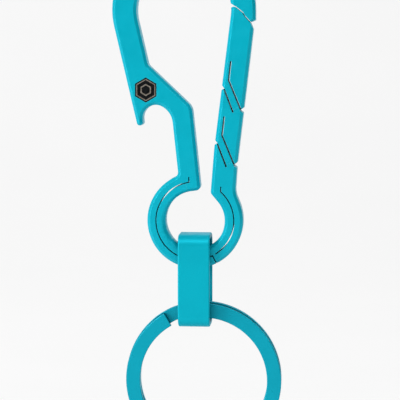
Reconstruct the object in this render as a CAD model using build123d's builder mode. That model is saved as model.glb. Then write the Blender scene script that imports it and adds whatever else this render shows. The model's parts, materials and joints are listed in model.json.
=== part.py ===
from build123d import *
import os
from math import cos, radians, sin, tan

os.makedirs("parts", exist_ok=True)

# A carabiner keyring. One steel plate is the hook, the spine with its bottle opener, the
# eye and the gate. Saw cuts leave the gate on thin spring strips. A bent link hangs in
# the eye, and a flat split ring hangs in the link.
#
# Frame: millimetres, origin at the centre of the hook's arch, +Z up, front face to -Y.

# ---- Plate ------------------------------------------------------------------------
plate_t = 4.6
edge_chamfer = 0.62
kerf = 0.34                       # width of the saw cuts that leave the spring strips
eye_kerf = 0.24                   # width of the finer cuts round the eye's rim
nose_kerf = 0.2                   # width of the finest cut, which frees the gate's tip
beyond = 4.0                      # how far a cutting tool runs past a surface

hook_r_out = 15.8
arm_w = 5.35
hook_r_in = hook_r_out - arm_w
spine_lean = 13.1                 # degrees that the spine leans in from vertical
gate_lean = 7.08                  # degrees that the gate leans in from vertical
nose_proud = 0.3                  # how far the nose stands out past the gate's outer edge

eye = (2.5, -46.5)
eye_r_out = 10.65
eye_r_in = 6.62
slit_r = 8.67                     # radius of the cuts that split the eye's rim

knee_z = -12.0                    # where the spine turns in above the opener
elbow = (1.8, -21.2)
heel_x = 3.75
heel_tangent = 98                 # angle where the heel's underside leaves the eye's hole

# Bottle opener: a claw and a rounded notch with two radii.
claw_tip_z = -25.4
claw_w = 1.3
claw_round = 0.63
notch_centre = (-6.21, -23.78)
notch_r = 2.95
notch_turn = 60                   # angle where the notch's wall takes its wider radius
notch_r_wide = 4.6
arm_lean = 6.07                   # degrees from vertical of the arm below the notch
arm_foot = (-1.2, -36.5)          # where that arm meets the eye's rim
arm_end_z = -38                   # a height on that arm inside the eye's disc

# Gate below the arch.
gate_top_z = -2.6
gate_bend_z = -30.4
waist = (11.85, -33.8)
throat_z = -40.35
throat_tangent = 40.2             # angle where the throat's flare meets the eye's hole
hip_z = -40.2
hip_tangent = 22                  # angle where the gate's outer edge meets the eye's rim


def polar(centre, radius, angle):
    """A point at an angle in degrees round a centre."""
    return (centre[0] + radius * cos(radians(angle)), centre[1] + radius * sin(radians(angle)))


def down(point, lean, z):
    """Where a line through a point, leaning by some degrees from vertical, reaches a height."""
    return (point[0] + (point[1] - z) * tan(radians(lean)), z)


def shifted(point, dx, dz):
    """A point moved by a distance along X and Z."""
    return (point[0] + dx, point[1] + dz)


hook = (0.0, 0.0)
spine_outer = polar(hook, hook_r_out, 180 + spine_lean)
spine_inner = polar(hook, hook_r_in, 180 + spine_lean)
claw_outer = down(spine_outer, spine_lean, claw_tip_z)
claw_inner = shifted(claw_outer, claw_w, 0)
wide_centre = polar(polar(notch_centre, notch_r, notch_turn), -notch_r_wide, notch_turn)
arm_top = polar(wide_centre, notch_r_wide, arm_lean)
hip_foot = polar(eye, eye_r_out, hip_tangent)
hip = down(hip_foot, hip_tangent, hip_z)
gate_outer = (hook_r_out - nose_proud, gate_top_z)
knee = down(spine_inner, spine_lean, knee_z)
heel_foot = polar(eye, eye_r_in, heel_tangent)
heel = (heel_x, heel_foot[1] + (heel_x - heel_foot[0]) * tan(radians(heel_tangent - 90)))
throat_foot = polar(eye, eye_r_in, throat_tangent)
throat = down(throat_foot, throat_tangent, throat_z)
gate_inner = polar(hook, hook_r_in, -gate_lean)
gate_bend = down(gate_inner, -gate_lean, gate_bend_z)

# Corner, rounding radius.
rounded_corners = [
    (claw_outer, claw_round),
    (claw_inner, claw_round),
    (arm_foot, 1.2),
    (hip, 5.0),
    (knee, 1.5),
    (elbow, 3.2),
    (heel, 1.0),
    (throat, 0.9),
]

# ---- Saw cuts ---------------------------------------------------------------------
# Each of the gate's two springs is the strip between an upper cut, which turns a corner
# and leaves through the outer edge, and a lower cut, which comes in from the inner edge.
spring_pitch = (-1.45, -12.1)     # from the upper spring to the lower one
upper_cut = [(10.42, -11.35), (9.98, -15.4), (12.57, -21.65)]
lower_cut = [(9.0, -17.4), (10.9, -22.3)]
nose_cut = [(9.7, 0.95), (11.37, 0.72), (13.02, -0.6), (13.44, -1.34), (14.8, -2.8), (17.0, -3.1)]
eye_cut_start = 98.5              # angles round the eye of the long and the short cut
eye_cut_end = 297
short_cut_start = 48.4
short_cut_end = -58
eye_tick = 1.1                    # short straight start of each of the eye's cuts

# Small V notches where a cut meets an edge: three corners each.
nose_inner_notch = [(9.6, 1.9), (11.2, 0.86), (9.7, 0.1)]
nose_outer_notch = [(16.4, -1.95), (14.7, -2.7), (15.55, -4.8)]
strip_inner_notch = [(8.0, -15.9), (9.0, -17.2), (7.7, -17.75)]
strip_outer_notch = [(14.0, -20.9), (12.4, -22.0), (13.9, -23.0)]

# ---- Badge ------------------------------------------------------------------------
badge = (-8.35, -17.55)
badge_r = 2.76                    # centre to corner of the hexagon
badge_deep = 0.3
field_t = 0.2
line_inset = 0.3                  # from the hexagon's corner to the raised line's corner
line_w = 0.26
line_t = 0.07                     # how far the line stands up from the field

# ---- Link -------------------------------------------------------------------------
link_x = 2.4
link_w = 7.1
link_t = 1.0
link_deep = 8.8
link_top = -49.5
link_bottom = -70.25
link_bend = 2.4                   # outer radius of the band's four bends
link_edge = 0.35

# ---- Split ring -------------------------------------------------------------------
ring = (4.3, -82.72)
ring_r_out = 17.5
ring_wire_w = 3.2
ring_wire_t = 1.1
ring_gap = 0.06                   # between the ring's two turns
ring_edge = 0.2
back_lift = 0.36                  # how much higher the back turn sits than the front one
jog_w = 3.0                       # the wire is narrower where it steps between the turns
front_end = 120.5                 # angle of the front turn's cut end
back_end = 88.5                   # angle of the back turn's cut end
jog_low = 88                      # where the wire leaves the front turn
jog_narrow = 106                  # where it is down to its narrow width
jog_level = 115                   # where it has reached the back turn's depth
jog_high = 130                    # where it is back to its full width


def saw(points, offset=(0, 0)):
    """A cut's centre line, moved by an offset."""
    return Polyline(*[shifted(p, *offset) for p in points])


def eye_saw(start, end, tick_lean):
    """A cut round the eye's rim, with its short straight start."""
    first = polar(eye, slit_r, start)
    tick = Line(down(first, tick_lean, first[1] + eye_tick), first)
    return [tick, CenterArc(eye, slit_r, start, end - start)]


long_cut = Wire(eye_saw(eye_cut_start, eye_cut_end, 3)
                + [Line(polar(eye, slit_r, eye_cut_end), polar(eye, eye_r_out + 1, eye_cut_end))])
short_cut = Wire(eye_saw(short_cut_start, short_cut_end, 0))
cuts = [(long_cut, eye_kerf), (short_cut, eye_kerf), (saw(nose_cut).wire(), nose_kerf)]
notches = [nose_inner_notch, nose_outer_notch]
for step in (0, 1):
    offset = (spring_pitch[0] * step, spring_pitch[1] * step)
    cuts += [(saw(upper_cut, offset).wire(), kerf), (saw(lower_cut, offset).wire(), kerf)]
    notches += [[shifted(p, *offset) for p in corners] for corners in (strip_inner_notch, strip_outer_notch)]

with BuildPart() as plate:
    with BuildSketch(Plane.XZ) as outline:
        with BuildLine():
            CenterArc(hook, hook_r_out, 0, 180 + spine_lean)
            Polyline(spine_outer, claw_outer, claw_inner, polar(notch_centre, notch_r, 180))
            CenterArc(notch_centre, notch_r, 180, notch_turn - 180)
            CenterArc(wide_centre, notch_r_wide, notch_turn, arm_lean - notch_turn)
            Polyline(arm_top, down(arm_top, arm_lean, arm_end_z), eye, hip_foot, hip, waist,
                     gate_outer, (hook_r_out, gate_top_z), (hook_r_out, 0))
        make_face()
        with Locations(eye):
            Circle(eye_r_out)
        with BuildLine():
            CenterArc(hook, hook_r_in, -gate_lean, 180 + spine_lean + gate_lean)
            Polyline(spine_inner, knee, elbow, heel, heel_foot)
            CenterArc(eye, eye_r_in, heel_tangent, 360 + throat_tangent - heel_tangent)
            Polyline(throat_foot, throat, gate_bend, gate_inner)
        make_face(mode=Mode.SUBTRACT)
        for corner, radius in rounded_corners:
            fillet(outline.vertices().sort_by_distance((*corner, 0))[0], radius)
    extrude(amount=plate_t / 2, both=True)
    chamfer(plate.edges().filter_by(lambda e: abs(abs(e.center().Y) - plate_t / 2) < 0.001), edge_chamfer)
    with BuildSketch(Plane.XZ):
        for cut, width in cuts:
            SlotArc(cut, width)
        for corners in notches:
            with BuildLine():
                Polyline(*corners, close=True)
            make_face()
    extrude(amount=plate_t, both=True, mode=Mode.SUBTRACT)
    with BuildSketch(Plane.XZ.offset(plate_t / 2 - badge_deep)):
        with Locations(badge):
            RegularPolygon(badge_r, 6, rotation=30)
    extrude(amount=badge_deep, mode=Mode.SUBTRACT)

# ---- The plate's sub-parts --------------------------------------------------------
# The plate is divided where its springs begin and end. Each dividing line runs down the
# middle of a saw cut and crosses the metal only at a spring's two roots.
strip_root = -11.65               # height of the upper spring's root in the gate's tip
root_point = (10.39, strip_root)
in_hook = (7.3, -16)              # points in the open space on each side of the gate
in_throat_x = 6.5
beside_gate = (17, -22.0)
strip_foot = [(10.77, -21.96), (12.38, -21.18)]
tip_line = [(in_throat_x, strip_root), root_point, *upper_cut[1:], beside_gate]
arm_line = [(in_throat_x, -16.9), lower_cut[0], *strip_foot, upper_cut[2], beside_gate]
leaf_start = 104                  # angles round the eye of the long spring's two roots
leaf_end = 294.5
eye_void_r = 5.0
right_side = 19                   # beyond everything on the gate's side
eye_side_x = 4.7                  # in the mouth between the heel and the gate
eye_line = [
    polar(eye, eye_r_out + beyond, eye_cut_end),
    polar(eye, slit_r, eye_cut_end),
    polar(eye, slit_r, leaf_end),
    polar(eye, eye_void_r, leaf_end),
    (eye_side_x, throat_z),
    (eye_side_x, gate_bend_z),
]


def lower(points):
    """The same line at the lower spring."""
    return [shifted(p, *spring_pitch) for p in points]


below_gate = (right_side, -60)
nose_side = [*nose_cut, (right_side, nose_cut[-1][1])]
nose_start = (9, nose_cut[0][1])
tip_zone = [*nose_side, (right_side, beside_gate[1]), *reversed(tip_line), nose_start]
upper_strip_zone = [*tip_line[:-2], *reversed(arm_line[:-2])]
middle_zone = [*arm_line, (right_side, gate_bend_z), *reversed(lower(tip_line))]
lower_strip_zone = lower(upper_strip_zone)
arm_zone = [*lower(arm_line), below_gate, *eye_line]
gate_zone = [*nose_side, below_gate, *eye_line, in_hook, nose_start]

with BuildPart() as leaf_tool:
    with BuildSketch(Plane.XZ):
        with BuildLine():
            CenterArc(eye, slit_r, leaf_start, leaf_end - leaf_start)
            Line(polar(eye, slit_r, leaf_end), polar(eye, eye_void_r, leaf_end))
            CenterArc(eye, eye_void_r, leaf_end, leaf_start - leaf_end)
            Line(polar(eye, eye_void_r, leaf_start), polar(eye, slit_r, leaf_start))
        make_face()
    extrude(amount=plate_t, both=True)

with BuildPart() as carabiner_body:
    add(plate.part)
    with BuildSketch(Plane.XZ):
        with BuildLine():
            Polyline(*gate_zone, close=True)
        make_face()
    extrude(amount=plate_t, both=True, mode=Mode.SUBTRACT)
    add(leaf_tool.part, mode=Mode.SUBTRACT)

with BuildPart() as eye_spring:
    add(plate.part)
    add(leaf_tool.part, mode=Mode.INTERSECT)

gate_parts = {}
for name, zone in (("gate_tip", tip_zone), ("upper_spring_strip", upper_strip_zone),
                   ("gate_middle", middle_zone), ("lower_spring_strip", lower_strip_zone),
                   ("gate_arm", arm_zone)):
    with BuildPart() as gate_part:
        add(plate.part)
        with BuildSketch(Plane.XZ):
            with BuildLine():
                Polyline(*zone, close=True)
            make_face()
        extrude(amount=plate_t, both=True, mode=Mode.INTERSECT)
    gate_parts[name] = gate_part.part

# ---- Badge ------------------------------------------------------------------------
badge_floor = Plane.XZ.offset(plate_t / 2 - badge_deep)

with BuildPart() as badge_field:
    with BuildSketch(badge_floor):
        with Locations(badge):
            RegularPolygon(badge_r, 6, rotation=30)
            RegularPolygon(badge_r / 2, 6, rotation=30, mode=Mode.SUBTRACT)
    extrude(amount=field_t)

with BuildPart() as badge_rim:
    with BuildSketch(badge_floor.offset(field_t)):
        with Locations(badge):
            RegularPolygon(badge_r - line_inset, 6, rotation=30)
            RegularPolygon(badge_r - line_inset - line_w, 6, rotation=30, mode=Mode.SUBTRACT)
    extrude(amount=line_t)

# ---- Link -------------------------------------------------------------------------
link_tall = link_top - link_bottom
link_middle = (0, (link_top + link_bottom) / 2)

with BuildPart() as swivel_link:
    with BuildSketch(Plane.YZ.offset(link_x)):
        with Locations(link_middle):
            RectangleRounded(link_deep, link_tall, link_bend)
            RectangleRounded(link_deep - 2 * link_t, link_tall - 2 * link_t, link_bend - link_t,
                             mode=Mode.SUBTRACT)
    extrude(amount=link_w / 2, both=True)
    sides = swivel_link.faces().filter_by(Axis.X)
    fillet(sides.edges(), link_edge)

# ---- Split ring -------------------------------------------------------------------
turn_y = (ring_wire_t + ring_gap) / 2
front_axis = Axis((ring[0], 0, ring[1]), (0, -1, 0))
back_axis = Axis((ring[0], 0, ring[1] + back_lift), (0, -1, 0))


def wire_plane(angle, y, width):
    """The plane across the ring's wire at an angle, centred on a wire of that width."""
    x, z = polar(ring, ring_r_out - width / 2, angle)
    z += back_lift * (y + turn_y) / (2 * turn_y)
    radial = (cos(radians(angle)), 0, sin(radians(angle)))
    along_wire = (-sin(radians(angle)), 0, cos(radians(angle)))
    return Plane(origin=(x, y, z), x_dir=radial, z_dir=along_wire)


def ease(value, low, high):
    """A smooth step from 0 to 1 between two values."""
    part = min(max((value - low) / (high - low), 0), 1)
    return part * part * (3 - 2 * part)


with BuildPart() as split_ring:
    with BuildSketch(wire_plane(front_end, -turn_y, ring_wire_w)):
        RectangleRounded(ring_wire_w, ring_wire_t, ring_edge)
    revolve(axis=front_axis, revolution_arc=360 + jog_low - front_end)
    with BuildSketch(wire_plane(jog_high, turn_y, ring_wire_w)):
        RectangleRounded(ring_wire_w, ring_wire_t, ring_edge)
    revolve(axis=back_axis, revolution_arc=360 + back_end - jog_high)
    for angle in range(jog_low, jog_high + 1, 6):
        y = turn_y * (2 * ease(angle, jog_low, jog_level) - 1)
        narrow = ease(angle, jog_low, jog_narrow) - ease(angle, front_end, jog_high)
        width = ring_wire_w + (jog_w - ring_wire_w) * narrow
        with BuildSketch(wire_plane(angle, y, width)):
            RectangleRounded(width, ring_wire_t, ring_edge)
    loft()

# ---- Export -----------------------------------------------------------------------
parts = {
    "carabiner_body": carabiner_body.part,
    "eye_spring": eye_spring.part,
    **gate_parts,
    "badge_field": badge_field.part,
    "badge_rim": badge_rim.part,
    "swivel_link": swivel_link.part,
    "split_ring": split_ring.part,
}
for name, part in parts.items():
    part.label = name
    export_step(part, f"parts/{name}.step")
    print(name, len(part.solids()), round(part.volume, 2))
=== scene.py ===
import json
import math

import bmesh
import bpy
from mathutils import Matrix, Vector


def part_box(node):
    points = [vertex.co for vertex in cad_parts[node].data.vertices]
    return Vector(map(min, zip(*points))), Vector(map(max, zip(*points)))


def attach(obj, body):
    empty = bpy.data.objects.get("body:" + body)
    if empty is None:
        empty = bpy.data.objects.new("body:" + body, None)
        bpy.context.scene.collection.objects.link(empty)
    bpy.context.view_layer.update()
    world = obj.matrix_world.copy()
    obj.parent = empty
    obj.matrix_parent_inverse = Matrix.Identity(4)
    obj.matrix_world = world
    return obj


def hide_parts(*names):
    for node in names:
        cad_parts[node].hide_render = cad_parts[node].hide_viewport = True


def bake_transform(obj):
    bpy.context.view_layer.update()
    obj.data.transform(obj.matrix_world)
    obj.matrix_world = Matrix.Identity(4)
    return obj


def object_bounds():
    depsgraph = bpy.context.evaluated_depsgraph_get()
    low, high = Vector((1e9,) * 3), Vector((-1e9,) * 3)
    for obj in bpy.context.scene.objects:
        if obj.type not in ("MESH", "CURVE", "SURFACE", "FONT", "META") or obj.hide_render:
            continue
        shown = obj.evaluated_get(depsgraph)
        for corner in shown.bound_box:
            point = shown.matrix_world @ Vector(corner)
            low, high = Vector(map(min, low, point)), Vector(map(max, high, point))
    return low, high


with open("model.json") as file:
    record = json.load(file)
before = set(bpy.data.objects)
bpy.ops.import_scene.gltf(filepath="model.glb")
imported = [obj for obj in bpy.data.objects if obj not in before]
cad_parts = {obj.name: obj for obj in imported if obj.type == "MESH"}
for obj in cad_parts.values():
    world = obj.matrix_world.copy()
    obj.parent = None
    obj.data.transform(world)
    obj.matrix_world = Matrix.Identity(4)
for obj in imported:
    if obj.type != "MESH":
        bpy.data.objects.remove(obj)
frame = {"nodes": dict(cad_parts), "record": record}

MM = 0.001
cad_low, cad_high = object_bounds()
nodes = frame["nodes"]
scene = bpy.context.scene

# ---- Camera ---------------------------------------------------------------------
# A long lens, a little to the gate's side and a little above.
TARGET = Vector((3.46, 0.0, -42.05)) * MM
DISTANCE = 350 * MM
AZIMUTH = math.radians(4.9)
ELEVATION = math.radians(5.6)


def aim(obj, place, target):
    """Puts an object at a place, looking at a target."""
    obj.location = place
    obj.rotation_euler = (target - place).to_track_quat("-Z", "Y").to_euler()


lens = bpy.data.cameras.new("camera")
lens.lens = 141.3
lens.sensor_width = 36.0
lens.clip_start = 0.01
camera = bpy.data.objects.new("camera", lens)
scene.collection.objects.link(camera)
towards = Vector((math.sin(AZIMUTH) * math.cos(ELEVATION),
                  -math.cos(AZIMUTH) * math.cos(ELEVATION),
                  math.sin(ELEVATION)))
aim(camera, TARGET + towards * DISTANCE, TARGET)
scene.camera = camera
scene.view_settings.view_transform = "Standard"

# ---- Studio ---------------------------------------------------------------------
world = bpy.data.worlds.new("studio")
scene.world = world
world.use_nodes = True
world.node_tree.nodes["Background"].inputs["Color"].default_value = (1.0, 1.0, 1.0, 1.0)
world.node_tree.nodes["Background"].inputs["Strength"].default_value = 0.02


def softbox(name, place, width, height, power):
    """A rectangular lamp aimed at the object."""
    light = bpy.data.lights.new(name, "AREA")
    light.shape = "RECTANGLE"
    light.size = width
    light.size_y = height
    light.energy = power
    lamp = bpy.data.objects.new(name, light)
    scene.collection.objects.link(lamp)
    lamp.visible_camera = False
    aim(lamp, Vector(place), TARGET)


softbox("key_left", (-0.62, -0.36, 0.02), 0.4, 0.9, 7.6)
softbox("top", (0.05, -0.42, 0.42), 0.9, 0.3, 3.35)

# ---- Node materials -------------------------------------------------------------


class Shader:
    """A material built from nodes, with short calls to add and join them."""

    def __init__(self, name):
        self.material = bpy.data.materials.new(name)
        self.material.use_nodes = True
        self.tree = self.material.node_tree
        self.out = self.tree.nodes["Principled BSDF"]
        self.place = self.add("ShaderNodeTexCoord").outputs["Object"]

    def add(self, kind, **settings):
        node = self.tree.nodes.new(kind)
        for key, value in settings.items():
            setattr(node, key, value)
        return node

    def join(self, source, socket):
        if hasattr(source, "is_output"):
            self.tree.links.new(source, socket)
        else:
            socket.default_value = source

    def noise(self, scale, detail=2.0, stretch=(1.0, 1.0, 1.0), roughness=0.5):
        """Noise with a scale per millimetre; a stretch below 1 draws it out along that axis."""
        mapping = self.add("ShaderNodeMapping")
        self.join(self.place, mapping.inputs["Vector"])
        mapping.inputs["Scale"].default_value = stretch
        node = self.add("ShaderNodeTexNoise")
        self.join(mapping.outputs["Vector"], node.inputs["Vector"])
        node.inputs["Scale"].default_value = scale / MM
        node.inputs["Detail"].default_value = detail
        node.inputs["Roughness"].default_value = roughness
        return node.outputs["Fac"]

    def rings(self, centre, scale):
        """Fine lines that run round an axis along Y through a centre."""
        shift = self.add("ShaderNodeVectorMath", operation="SUBTRACT")
        self.join(self.place, shift.inputs[0])
        shift.inputs[1].default_value = centre
        flat = self.add("ShaderNodeVectorMath", operation="MULTIPLY")
        self.join(shift.outputs[0], flat.inputs[0])
        flat.inputs[1].default_value = (1.0, 0.0, 1.0)
        length = self.add("ShaderNodeVectorMath", operation="LENGTH")
        self.join(flat.outputs[0], length.inputs[0])
        node = self.add("ShaderNodeTexNoise", noise_dimensions="1D")
        self.join(length.outputs["Value"], node.inputs["W"])
        node.inputs["Scale"].default_value = scale / MM
        node.inputs["Detail"].default_value = 3.0
        return node.outputs["Fac"]

    def ramp(self, source, low, high, from_value=0.0, to_value=1.0):
        """A source spread from low..high to from_value..to_value, clamped."""
        node = self.add("ShaderNodeMapRange")
        self.join(source, node.inputs["Value"])
        node.inputs["From Min"].default_value = low
        node.inputs["From Max"].default_value = high
        node.inputs["To Min"].default_value = from_value
        node.inputs["To Max"].default_value = to_value
        return node.outputs["Result"]

    def math(self, operation, first, second):
        node = self.add("ShaderNodeMath", operation=operation)
        self.join(first, node.inputs[0])
        self.join(second, node.inputs[1])
        return node.outputs["Value"]

    def mix(self, factor, first, second):
        """One colour or value socket faded into another."""
        node = self.add("ShaderNodeMix", data_type="RGBA")
        self.join(factor, node.inputs[0])
        self.join(first, node.inputs[6])
        self.join(second, node.inputs[7])
        return node.outputs[2]

    def rounded(self, radius):
        """The surface's normal with its sharp edges softened."""
        node = self.add("ShaderNodeBevel", samples=6)
        node.inputs["Radius"].default_value = radius * MM
        return node.outputs["Normal"]

    def edges(self, soft, low, high):
        """1 on sharp edges and 0 away from them."""
        true_normal = self.add("ShaderNodeNewGeometry").outputs["Normal"]
        dot = self.add("ShaderNodeVectorMath", operation="DOT_PRODUCT")
        self.join(soft, dot.inputs[0])
        self.join(true_normal, dot.inputs[1])
        return self.ramp(dot.outputs["Value"], low, high, 1.0, 0.0)

    def occlusion(self, reach):
        """How open a surface is, from 0 to 1, to what lies within a reach."""
        node = self.add("ShaderNodeAmbientOcclusion", samples=8)
        node.inputs["Distance"].default_value = reach * MM
        return node.outputs["AO"]

    def cut_shade(self, reach):
        """0 deep inside a narrow cut, where shade is painted, and 1 on open surfaces."""
        return self.ramp(self.occlusion(reach), 0.3, 0.8)

    def bump(self, height, strength, depth, normal=None):
        node = self.add("ShaderNodeBump")
        node.inputs["Strength"].default_value = strength
        node.inputs["Distance"].default_value = depth * MM
        self.join(height, node.inputs["Height"])
        if normal is not None:
            self.join(normal, node.inputs["Normal"])
        return node.outputs["Normal"]


def coating(name, colour, light, dark, grain, roughness, gloss, metal, shade=0.0, lines=None):
    """Satin coating on metal: blotches, a fine grain, polishing lines, a painted highlight in patches
    along sharp edges, painted shade deep in narrow cuts and, when shade is set, painted shade near other
    parts.
    """
    s = Shader(name)
    blotch = s.noise(0.16, 3.0)
    speck = s.noise(6.0, 2.0)
    body = s.mix(s.ramp(blotch, 0.35, 0.65), (*colour, 1.0), (*dark, 1.0))
    body = s.mix(s.ramp(speck, 0.55, 0.85, 0.0, 0.12), body, (*light, 1.0))
    soft = s.rounded(0.14)
    # Painted highlight: a lighter cyan laid in patches along sharp edges, standing in for the sheen that
    # rounded edges catch; these patches are also a little smoother.
    edge_sheen = s.edges(soft, 0.86, 0.985)
    patchy_edge_sheen = s.math("MULTIPLY", edge_sheen, s.ramp(s.noise(0.9, 3.0), 0.38, 0.62, 0.15, 0.75))
    # Painted shade: deep inside narrow cuts the colour goes near black and the shine and metal are taken
    # away. This stands for the shadow in the cuts and partly for their darker bare walls.
    cut_shade_mask = s.cut_shade(0.6)
    # Painted highlight: the lighter cyan goes onto the edge patches here.
    body = s.mix(patchy_edge_sheen, body, (*light, 1.0))
    # Painted shade: where other parts lie within 5 mm, as on the link by the plate and the ring by the
    # link, the colour darkens towards a dark teal.
    if shade:
        hollow_shade_mask = s.ramp(s.occlusion(5.0), 0.3, 0.85, shade, 0.0)
        body = s.mix(hollow_shade_mask, body, (0.0, 0.05, 0.07, 1.0))
    # Painted shade: near-black laid into narrow cuts.
    s.join(s.mix(cut_shade_mask, (0.0, 0.01, 0.02, 1.0), body), s.out.inputs["Base Color"])
    s.join(s.math("MULTIPLY", cut_shade_mask, gloss), s.out.inputs["Specular IOR Level"])
    s.join(s.math("MULTIPLY", cut_shade_mask, metal), s.out.inputs["Metallic"])
    shine = s.ramp(s.noise(0.5, 3.0), 0.3, 0.7, roughness - 0.05, roughness + 0.06)
    s.join(s.math("SUBTRACT", shine, s.math("MULTIPLY", patchy_edge_sheen, 0.08)), s.out.inputs["Roughness"])
    height = s.noise(grain, 3.0) if lines is None else s.math("ADD", s.noise(grain, 3.0), lines(s))
    s.join(s.bump(height, 0.16, 0.012, soft), s.out.inputs["Normal"])
    s.out.inputs["IOR"].default_value = 1.5
    return s.material


plate_paint = coating("coated_plate", (0.0016, 0.43, 0.56), (0.06, 0.56, 0.66), (0.0014, 0.41, 0.535),
                      grain=9.0, roughness=0.33, gloss=0.12, metal=0.25)
# shade sets how much painted shade the link and the ring get near other parts.
link_paint = coating("coated_link", (0.0016, 0.405, 0.52), (0.05, 0.54, 0.64), (0.0014, 0.385, 0.50),
                     grain=6.0, roughness=0.40, gloss=0.06, metal=0.25, shade=0.6,
                     lines=lambda s: s.noise(5.0, 2.0, (1.0, 1.0, 0.06)))
ring_low, ring_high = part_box("split_ring")
ring_centre = (ring_low + ring_high) / 2
ring_paint = coating("coated_ring", (0.0018, 0.34, 0.455), (0.05, 0.47, 0.56), (0.0015, 0.325, 0.435),
                     grain=6.0, roughness=0.31, gloss=0.1, metal=0.25, shade=0.5,
                     lines=lambda s: s.rings(ring_centre, 5.0))

enamel = Shader("badge_enamel")
enamel_tone = enamel.ramp(enamel.noise(1.6, 3.0), 0.3, 0.7)
enamel.join(enamel.mix(enamel_tone, (0.002, 0.003, 0.0035, 1.0), (0.007, 0.008, 0.009, 1.0)),
            enamel.out.inputs["Base Color"])
enamel.join(enamel.ramp(enamel.noise(3.0, 2.0), 0.3, 0.7, 0.22, 0.38), enamel.out.inputs["Roughness"])
enamel.out.inputs["Specular IOR Level"].default_value = 0.15
enamel.join(enamel.bump(enamel.noise(2.2, 2.0), 0.2, 0.03), enamel.out.inputs["Normal"])

line_metal = Shader("badge_metal")
metal_tone = line_metal.ramp(line_metal.noise(2.5, 3.0), 0.3, 0.7)
line_metal.join(line_metal.mix(metal_tone, (0.17, 0.15, 0.125, 1.0), (0.32, 0.28, 0.24, 1.0)),
                line_metal.out.inputs["Base Color"])
line_metal.join(line_metal.ramp(line_metal.noise(6.0, 2.0), 0.3, 0.7, 0.35, 0.55),
                line_metal.out.inputs["Roughness"])
line_metal.join(line_metal.bump(line_metal.noise(9.0, 2.0), 0.3, 0.02, line_metal.rounded(0.05)),
                line_metal.out.inputs["Normal"])
line_metal.out.inputs["Metallic"].default_value = 0.7

paints = {
    "coated_plate": plate_paint, "coated_link": link_paint, "coated_ring": ring_paint,
    "badge_enamel": enamel.material, "badge_metal": line_metal.material,
}


def finish_with(obj, slot_name):
    """Gives an object the one material of a slot."""
    obj.data.materials.clear()
    obj.data.materials.append(paints[slot_name])


for part in frame["record"]["subparts"]:
    finish_with(nodes[part["node"]], part["material_slot"])

# ---- Springs cut into slices ----------------------------------------------------
MERGE = 0.0005 * MM  # points nearer than this are one point


def spring(node, piece, start, end, slices, curved=False):
    """A copy of a spring, cut into slices along its length."""
    mesh = nodes[node].data.copy()
    obj = bpy.data.objects.new(piece, mesh)
    scene.collection.objects.link(obj)
    bm = bmesh.new()
    bm.from_mesh(mesh)
    bmesh.ops.remove_doubles(bm, verts=bm.verts, dist=MERGE)
    low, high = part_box(node)
    along = (end - start).normalized()
    corners = [Vector((x, y, z)) for x in (low.x, high.x)
               for y in (low.y, high.y) for z in (low.z, high.z)]
    reach = [(c - start).dot(along) for c in corners]
    for i in range(1, slices):
        at = min(reach) + (max(reach) - min(reach)) * i / slices
        geometry = bm.verts[:] + bm.edges[:] + bm.faces[:]
        bmesh.ops.bisect_plane(bm, geom=geometry, plane_co=start + along * at, plane_no=along, dist=MERGE)
    bm.to_mesh(mesh)
    bm.free()
    mesh.polygons.foreach_set("use_smooth", [curved] * len(mesh.polygons))
    if curved:
        mesh.set_sharp_from_angle(angle=math.radians(28))
    mesh.update()
    finish_with(obj, "coated_plate")
    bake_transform(obj)
    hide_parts(node)


def at(x, z):
    """A point in the middle of the plate's thickness, from millimetres."""
    return Vector((x, 0.0, z)) * MM


spring("eye_spring", "eye_leaf", at(0.9, -40.1), at(5.25, -52.5), 48, curved=True)
PITCH = at(-1.45, -12.1)
strip_foot, strip_root = at(11.58, -21.57), at(9.2, -11.65)
spring("upper_spring_strip", "upper_strip", strip_foot, strip_root, 28)
spring("lower_spring_strip", "lower_strip",
       strip_foot + PITCH, strip_root + PITCH, 28)

# ---- Badge centre ---------------------------------------------------------------
field_low, field_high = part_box("badge_field")
badge_centre = (field_low + field_high) / 2
badge_floor = field_high.y
badge_r = (field_high.z - field_low.z) / 2


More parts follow.
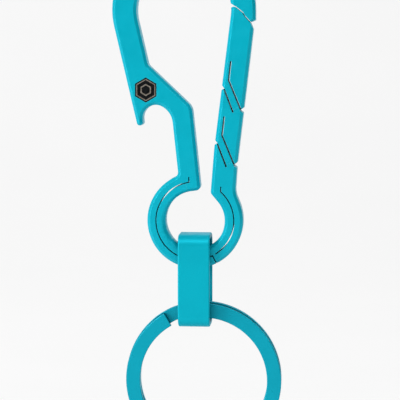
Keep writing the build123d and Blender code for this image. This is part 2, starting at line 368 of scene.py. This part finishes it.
def hexagon(name, outer, inner, front, slot_name):
    """A raised hexagonal ring, or a hexagonal plate if inner is 0, with a bevelled front edge."""
    mesh = bpy.data.meshes.new(name)
    obj = bpy.data.objects.new(name, mesh)
    scene.collection.objects.link(obj)
    bm = bmesh.new()

    def corners(radius, y):
        turn = [math.radians(30 + 60 * i) for i in range(6)]
        return [bm.verts.new((badge_centre.x + radius * math.sin(a + math.radians(30)), y,
                              badge_centre.z + radius * math.cos(a + math.radians(30))))
                for a in turn]

    round_off = 0.05 * MM
    loops = [corners(outer, badge_floor), corners(outer, front + round_off),
             corners(outer - round_off, front)]
    if inner:
        loops += [corners(inner + round_off, front), corners(inner, front + round_off),
                  corners(inner, badge_floor)]
    for first, second in zip(loops, loops[1:]):
        for i in range(6):
            bm.faces.new((first[i], first[(i + 1) % 6], second[(i + 1) % 6], second[i]))
    if inner:
        for i in range(6):
            after = (i + 1) % 6
            bm.faces.new((loops[-1][i], loops[-1][after], loops[0][after], loops[0][i]))
    else:
        bm.faces.new(loops[-1])
        bm.faces.new(loops[0])
    bmesh.ops.recalc_face_normals(bm, faces=bm.faces[:])
    bm.to_mesh(mesh)
    bm.free()
    finish_with(obj, slot_name)
    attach(obj, "plate")


hexagon("badge_inner_line", badge_r * 0.49, badge_r * 0.37, field_low.y - 0.03 * MM, "badge_metal")
hexagon("badge_inner_field", badge_r * 0.365, 0, field_low.y + 0.02 * MM, "badge_enamel")

# ---- Floor and backdrop ---------------------------------------------------------
FLOOR = cad_low.z - 0.0002
SWEEP_FRONT, BEND_START, BEND = -0.45, 0.25, 0.30
WALL_TOP, HALF_WIDTH = 1.2, 1.2
profile = [(SWEEP_FRONT, FLOOR), (BEND_START, FLOOR)]
for degrees in range(5, 91, 5):
    turn = math.radians(degrees)
    profile.append((BEND_START + BEND * math.sin(turn), FLOOR + BEND - BEND * math.cos(turn)))
profile.append((BEND_START + BEND, FLOOR + WALL_TOP))
sweep_mesh = bpy.data.meshes.new("sweep")
sweep = bpy.data.objects.new("sweep", sweep_mesh)
scene.collection.objects.link(sweep)
bm = bmesh.new()
left = [bm.verts.new((-HALF_WIDTH, y, z)) for y, z in profile]
right = [bm.verts.new((HALF_WIDTH, y, z)) for y, z in profile]
for i in range(len(profile) - 1):
    bm.faces.new((left[i], right[i], right[i + 1], left[i + 1]))
bm.to_mesh(sweep_mesh)
bm.free()
sweep_mesh.polygons.foreach_set("use_smooth", [True] * len(sweep_mesh.polygons))
paper = Shader("paper")
paper_tone = paper.ramp(paper.noise(0.02, 2.0), 0.3, 0.7)
paper.join(paper.mix(paper_tone, (0.19, 0.19, 0.19, 1.0), (0.2, 0.2, 0.2, 1.0)),
           paper.out.inputs["Base Color"])
paper.out.inputs["Roughness"].default_value = 0.9
paper.out.inputs["Specular IOR Level"].default_value = 0.1
paper.out.inputs["Emission Color"].default_value = (1.0, 1.0, 1.0, 1.0)
paper.out.inputs["Emission Strength"].default_value = 0.775
sweep_mesh.materials.append(paper.material)
